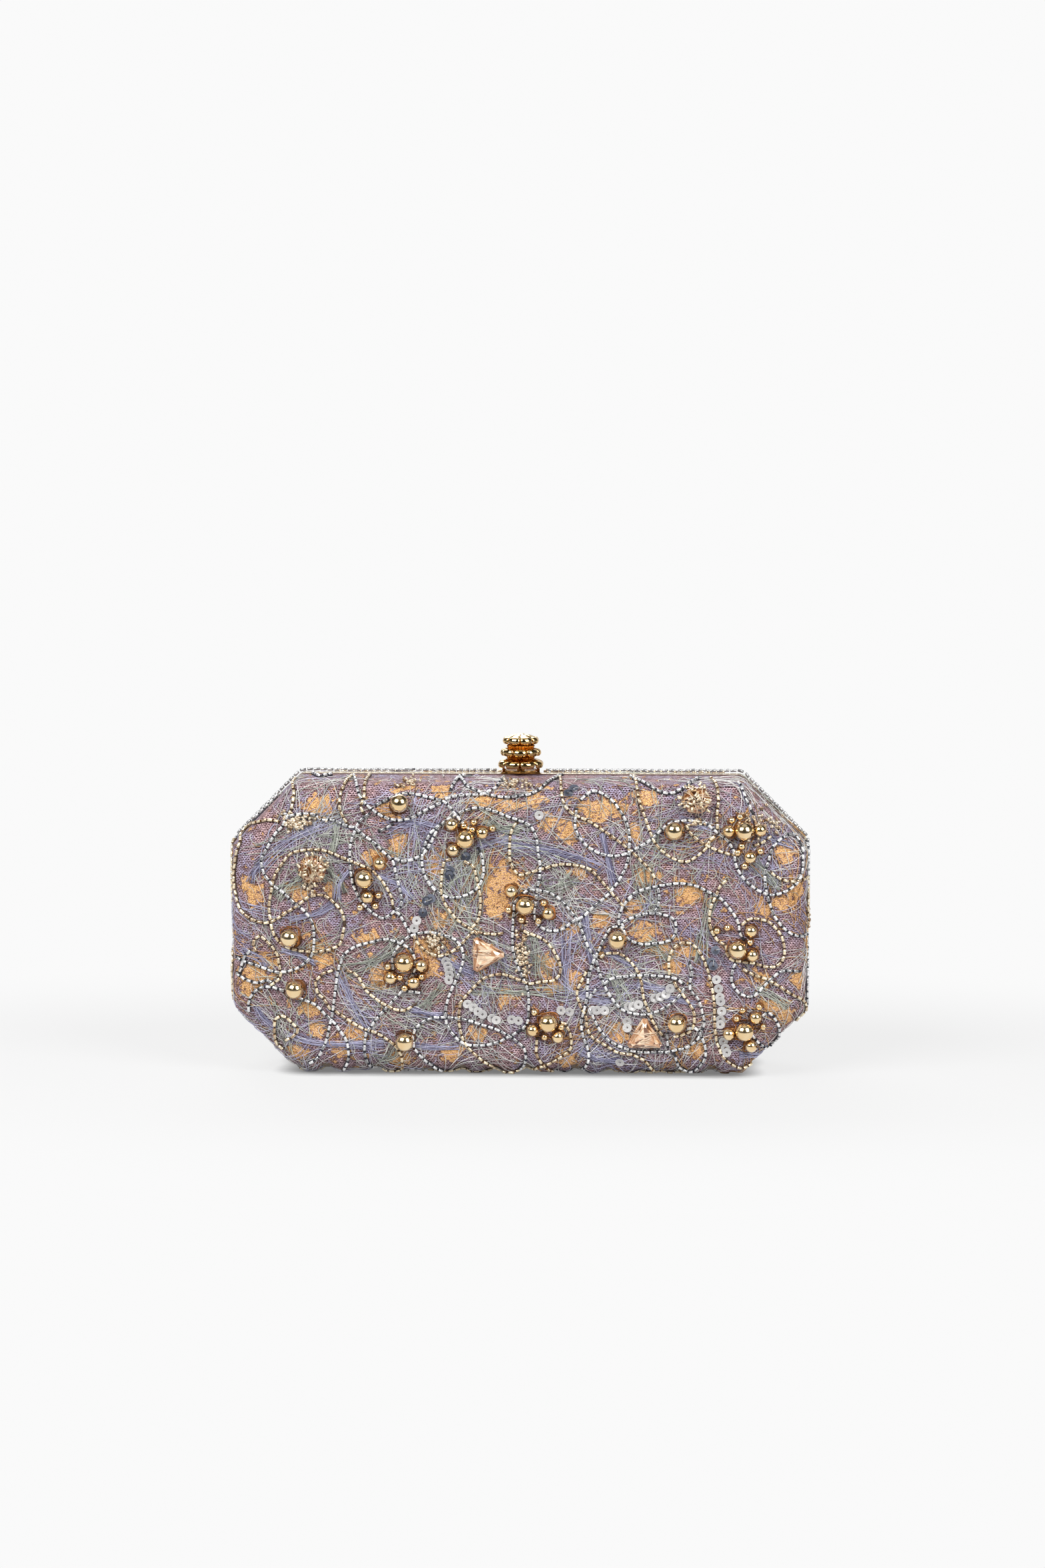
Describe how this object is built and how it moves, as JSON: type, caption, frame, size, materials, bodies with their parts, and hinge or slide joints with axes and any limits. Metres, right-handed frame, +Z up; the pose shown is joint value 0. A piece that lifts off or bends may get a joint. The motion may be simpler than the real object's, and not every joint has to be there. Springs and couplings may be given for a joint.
{
  "type": "evening bag",
  "caption": "Hard-shell box evening bag with cut corners: beaded net-covered trays in gold rims, hinged at the bottom, with a tilting petal knob clasp on top.",
  "frame": {"origin": "on the floor under the middle of the closed bag, in the parting plane", "axes": "+X along the bag to its right seen from the front, -Y out of the front face, +Z up to the knob"},
  "size_m": [0.1884, 0.0592, 0.1113],
  "materials": {
    "rim_metal": "polished pale gold plating",
    "hinge_metal": "satin gold plating",
    "clasp_metal": "polished gold plating",
    "spring_steel": "bright spring steel",
    "knob_gold": "mirror polished gold plating",
    "knob_core_gold": "granular orange gold",
    "shell": "moulded, matte",
    "padding": "thin foam",
    "cover_net": "embroidered net over satin",
    "lining_satin": "satin",
    "bead_gold": "gold-plated acrylic",
    "crystal_peach": "faceted glass"
  },
  "bodies": {
    "rear_half": {"rear_rim": "rim_metal", "rear_shell": "shell", "rear_padding": "padding", "rear_cover": "cover_net", "rear_lining": "lining_satin", "rear_slip_pocket": "lining_satin", "rear_hinge_leaf_left": "hinge_metal", "rear_hinge_leaf_right": "hinge_metal", "hinge_pin_left": "hinge_metal", "hinge_pin_right": "hinge_metal", "clasp_saddle": "clasp_metal", "clasp_pivot_pin": "clasp_metal", "clasp_spring": "spring_steel", "rear_gold_beads_large": "bead_gold", "rear_gold_beads_medium": "bead_gold", "rear_gold_beads_small": "bead_gold", "rear_crystals": "crystal_peach"},
    "front_half": {"front_rim": "rim_metal", "front_shell": "shell", "front_padding": "padding", "front_cover": "cover_net", "front_lining": "lining_satin", "front_hinge_leaf_left": "hinge_metal", "front_hinge_leaf_right": "hinge_metal", "catch_spring": "spring_steel", "catch_rivet": "clasp_metal", "front_gold_beads_large": "bead_gold", "front_gold_beads_medium": "bead_gold", "front_gold_beads_small": "bead_gold", "front_crystals": "crystal_peach"},
    "clasp": {"clasp_lever": "clasp_metal", "knob_core": "knob_core_gold", "knob_lower_tier": "knob_gold", "knob_middle_tier": "knob_gold", "knob_top_tier": "knob_gold", "knob_finial": "knob_gold"}
  },
  "joints": [
    {"name": "main_hinge", "type": "hinge", "parent": "rear_half", "child": "front_half", "pos_m": [0, 0, 0.0016], "axis": [1, 0, 0], "range_deg": [0, 100], "deforming": ["catch_spring"]},
    {"name": "clasp_tilt", "type": "hinge", "parent": "rear_half", "child": "clasp", "pos_m": [0, 0.0015, 0.09885], "axis": [-1, 0, 0], "range_deg": [0, 15], "stiffness_Nm_per_rad": 0.05, "springref_deg": -5.73, "deforming": ["clasp_spring", "catch_spring"]}
  ]
}
